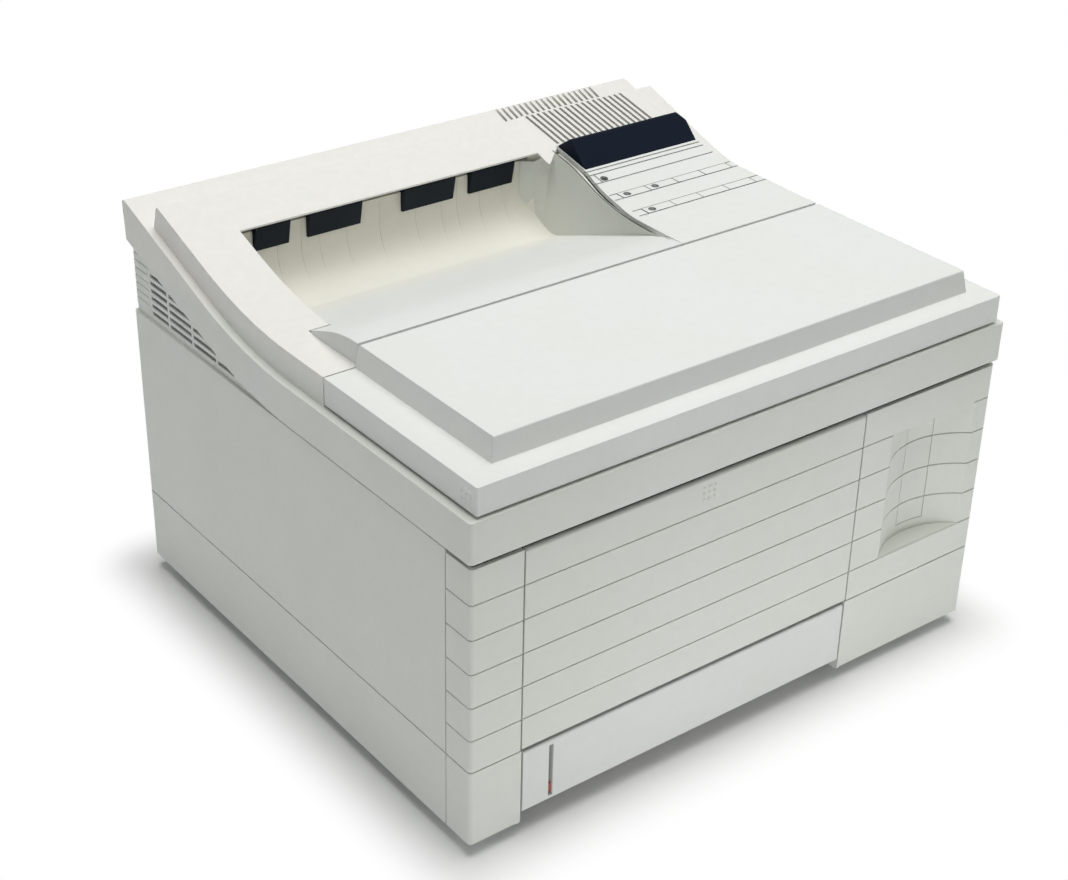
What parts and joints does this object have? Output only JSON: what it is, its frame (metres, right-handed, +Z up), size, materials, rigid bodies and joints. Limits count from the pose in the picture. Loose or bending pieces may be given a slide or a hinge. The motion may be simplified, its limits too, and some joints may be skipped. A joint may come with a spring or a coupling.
{
  "type": "laser printer",
  "caption": "Desktop laser printer with a lift-up toner door, top output bin, fold-down front tray, pull-out paper cassette, display and keys.",
  "frame": {"origin": "middle of the footprint, on the surface the feet stand on", "axes": "+X to the right seen from the front, +Y to the back, +Z up; the front faces -Y"},
  "size_m": [0.416, 0.3854, 0.2865],
  "materials": {
    "casing": "warm off-white moulded plastic, fine texture",
    "casing_inner": "grey-white moulded plastic",
    "display": "smooth navy black",
    "flap": "navy black, ribbed",
    "lamp": "clear dark lens",
    "key": "satin",
    "indicator": "red-orange",
    "rubber": "matt",
    "sheet": "zinc plated sheet",
    "spring": "drawn wire",
    "black_plastic": "matt black",
    "gear": "natural acetal",
    "pinion": "machined",
    "roller_rubber": "ground rubber",
    "foam": "foam",
    "heat": "coated",
    "drum": "photoconductive coating",
    "mirror": "polished",
    "motor": "black painted can",
    "board": "solder mask",
    "supply": "phenolic board",
    "screw": "plated"
  },
  "bodies": {
    "printer_body": {"base_pan": "casing", "feet": "rubber", "left_side_panel": "casing", "right_side_panel": "casing", "front_left_corner": "casing", "front_right_panel": "casing", "rear_panel": "casing", "top_housing": "casing", "output_bin": "casing", "control_panel_bezel": "casing", "display_window": "display", "status_lamps": "lamp", "case_screws": "screw", "left_frame": "sheet", "right_frame": "sheet", "cross_members": "sheet", "toner_cartridge": "black_plastic", "fuser_housing": "black_plastic", "exit_flaps": "flap", "laser_scanner": "black_plastic", "main_motor": "motor", "formatter_board": "board", "power_supply": "supply", "ac_inlet": "black_plastic", "fan_frame": "black_plastic"},
    "toner_door": {"toner_door": "casing", "toner_door_liner": "casing_inner"},
    "mp_door": {"mp_door": "casing", "mp_tray": "casing_inner"},
    "mp_guide_left": {"mp_guide_left": "casing_inner"},
    "mp_guide_right": {"mp_guide_right": "casing_inner"},
    "rear_door": {"rear_door": "casing"},
    "cassette": {"cassette_front": "casing", "cassette_tray": "casing_inner", "lift_springs": "spring"},
    "lift_plate": {"lift_plate": "sheet"},
    "paper_gauge": {"paper_gauge": "indicator"},
    "power_key": {"power_key": "casing"},
    "pickup_roller": {"pickup_roller": "roller_rubber"},
    "registration_roller": {"registration_roller": "roller_rubber"},
    "transfer_roller": {"transfer_roller": "foam", "transfer_gear": "gear"},
    "photo_drum": {"photo_drum": "drum"},
    "heat_roller": {"heat_roller": "heat", "heat_roller_gear": "gear"},
    "pressure_roller": {"pressure_roller": "roller_rubber"},
    "exit_roller": {"exit_roller": "roller_rubber"},
    "polygon_mirror": {"polygon_mirror": "mirror"},
    "motor_pinion": {"motor_pinion": "pinion"},
    "front_idler": {"front_idler_gear": "gear"},
    "rear_idler": {"rear_idler_gear": "gear"},
    "cooling_fan": {"cooling_fan": "black_plastic"},
    "upper_key_1": {"upper_key_1": "key"},
    "upper_key_2": {"upper_key_2": "key"},
    "upper_key_3": {"upper_key_3": "key"},
    "upper_key_4": {"upper_key_4": "key"},
    "lower_key_1": {"lower_key_1": "key"},
    "lower_key_2": {"lower_key_2": "key"},
    "lower_key_3": {"lower_key_3": "key"},
    "lower_key_4": {"lower_key_4": "key"}
  },
  "joints": [
    {"name": "toner_door_hinge", "type": "hinge", "parent": "printer_body", "child": "toner_door", "pos_m": [0, -0.0494, 0.259], "axis": [-1, 0, 0], "range_deg": [0, 60]},
    {"name": "mp_door_hinge", "type": "hinge", "parent": "printer_body", "child": "mp_door", "pos_m": [0, -0.1856, 0.07], "axis": [1, 0, 0], "range_deg": [0, 88]},
    {"name": "mp_guide_left_slide", "type": "slide", "parent": "mp_door", "child": "mp_guide_left", "axis": [1, 0, 0], "range_m": [0, 0.055]},
    {"name": "mp_guide_right_slide", "type": "slide", "parent": "mp_door", "child": "mp_guide_right", "axis": [-1, 0, 0], "range_m": [0, 0.055]},
    {"name": "rear_door_hinge", "type": "hinge", "parent": "printer_body", "child": "rear_door", "pos_m": [0, 0.1884, 0.122], "axis": [-1, 0, 0], "range_deg": [0, 80]},
    {"name": "cassette_slide", "type": "slide", "parent": "printer_body", "child": "cassette", "axis": [0, -1, 0], "range_m": [0, 0.25]},
    {"name": "lift_plate_hinge", "type": "hinge", "parent": "cassette", "child": "lift_plate", "pos_m": [0, -0.02, 0.025], "axis": [-1, 0, 0], "range_deg": [0, 8], "deforming": ["lift_springs"]},
    {"name": "paper_gauge_slide", "type": "slide", "parent": "cassette", "child": "paper_gauge", "axis": [0, 0, 1], "range_m": [0, 0.023]},
    {"name": "power_key_push", "type": "slide", "parent": "printer_body", "child": "power_key", "axis": [0, 1, 0], "range_m": [0, 0.004], "stiffness_N_per_m": 800, "springref_m": -0.001},
    {"name": "upper_key_1_push", "type": "slide", "parent": "printer_body", "child": "upper_key_1", "axis": [0, 0, -1], "range_m": [0, 0.0008], "stiffness_N_per_m": 1500, "springref_m": -0.0002},
    {"name": "upper_key_2_push", "type": "slide", "parent": "printer_body", "child": "upper_key_2", "axis": [0, 0, -1], "range_m": [0, 0.0008], "stiffness_N_per_m": 1500, "springref_m": -0.0002},
    {"name": "upper_key_3_push", "type": "slide", "parent": "printer_body", "child": "upper_key_3", "axis": [0, 0, -1], "range_m": [0, 0.0008], "stiffness_N_per_m": 1500, "springref_m": -0.0002},
    {"name": "upper_key_4_push", "type": "slide", "parent": "printer_body", "child": "upper_key_4", "axis": [0, 0, -1], "range_m": [0, 0.0008], "stiffness_N_per_m": 1500, "springref_m": -0.0002},
    {"name": "lower_key_1_push", "type": "slide", "parent": "printer_body", "child": "lower_key_1", "axis": [0, 0, -1], "range_m": [0, 0.0008], "stiffness_N_per_m": 1500, "springref_m": -0.0002},
    {"name": "lower_key_2_push", "type": "slide", "parent": "printer_body", "child": "lower_key_2", "axis": [0, 0, -1], "range_m": [0, 0.0008], "stiffness_N_per_m": 1500, "springref_m": -0.0002},
    {"name": "lower_key_3_push", "type": "slide", "parent": "printer_body", "child": "lower_key_3", "axis": [0, 0, -1], "range_m": [0, 0.0008], "stiffness_N_per_m": 1500, "springref_m": -0.0002},
    {"name": "lower_key_4_push", "type": "slide", "parent": "printer_body", "child": "lower_key_4", "axis": [0, 0, -1], "range_m": [0, 0.0008], "stiffness_N_per_m": 1500, "springref_m": -0.0002},
    {"name": "heat_roller_spin", "type": "hinge", "parent": "printer_body", "child": "heat_roller", "pos_m": [0, 0.12, 0.15], "axis": [1, 0, 0], "continuous": true},
    {"name": "rear_idler_spin", "type": "hinge", "parent": "printer_body", "child": "rear_idler", "pos_m": [0, 0.06, 0.15041], "axis": [1, 0, 0], "continuous": true},
    {"name": "motor_spin", "type": "hinge", "parent": "printer_body", "child": "motor_pinion", "pos_m": [0, 0.02, 0.12], "axis": [1, 0, 0], "continuous": true},
    {"name": "front_idler_spin", "type": "hinge", "parent": "printer_body", "child": "front_idler", "pos_m": [0, -0.02541, 0.12557], "axis": [1, 0, 0], "continuous": true},
    {"name": "transfer_roller_spin", "type": "hinge", "parent": "printer_body", "child": "transfer_roller", "pos_m": [0, -0.075, 0.1042], "axis": [1, 0, 0], "continuous": true},
    {"name": "registration_roller_spin", "type": "hinge", "parent": "printer_body", "child": "registration_roller", "pos_m": [0, -0.11025, 0.1042], "axis": [1, 0, 0], "continuous": true},
    {"name": "pressure_roller_spin", "type": "hinge", "parent": "printer_body", "child": "pressure_roller", "pos_m": [0, 0.12, 0.1251], "axis": [1, 0, 0], "continuous": true},
    {"name": "photo_drum_spin", "type": "hinge", "parent": "printer_body", "child": "photo_drum", "pos_m": [0, -0.075, 0.128], "axis": [1, 0, 0], "continuous": true},
    {"name": "exit_roller_spin", "type": "hinge", "parent": "printer_body", "child": "exit_roller", "pos_m": [0, 0.141, 0.247], "axis": [1, 0, 0], "continuous": true},
    {"name": "pickup_roller_spin", "type": "hinge", "parent": "printer_body", "child": "pickup_roller", "pos_m": [0, -0.138, 0.084], "axis": [1, 0, 0], "continuous": true},
    {"name": "polygon_mirror_spin", "type": "hinge", "parent": "printer_body", "child": "polygon_mirror", "pos_m": [-0.03985, 0.044, 0.194], "axis": [0, 0, 1], "continuous": true},
    {"name": "cooling_fan_spin", "type": "hinge", "parent": "printer_body", "child": "cooling_fan", "pos_m": [0, 0.132, 0.218], "axis": [1, 0, 0], "continuous": true}
  ],
  "couplings": [
    {"joint": "mp_guide_right_slide", "follows": "mp_guide_left_slide", "ratio": 1},
    {"joint": "paper_gauge_slide", "follows": "lift_plate_hinge", "m_per_rad": 0.16},
    {"joint": "rear_idler_spin", "follows": "heat_roller_spin", "ratio": -0.48148},
    {"joint": "motor_spin", "follows": "heat_roller_spin", "ratio": 2},
    {"joint": "front_idler_spin", "follows": "heat_roller_spin", "ratio": -0.54167},
    {"joint": "transfer_roller_spin", "follows": "heat_roller_spin", "ratio": 1.0833},
    {"joint": "registration_roller_spin", "follows": "heat_roller_spin", "ratio": -1.1304},
    {"joint": "pressure_roller_spin", "follows": "heat_roller_spin", "ratio": -1.0417},
    {"joint": "photo_drum_spin", "follows": "heat_roller_spin", "ratio": -0.61389},
    {"joint": "exit_roller_spin", "follows": "heat_roller_spin", "ratio": 2.0833}
  ]
}
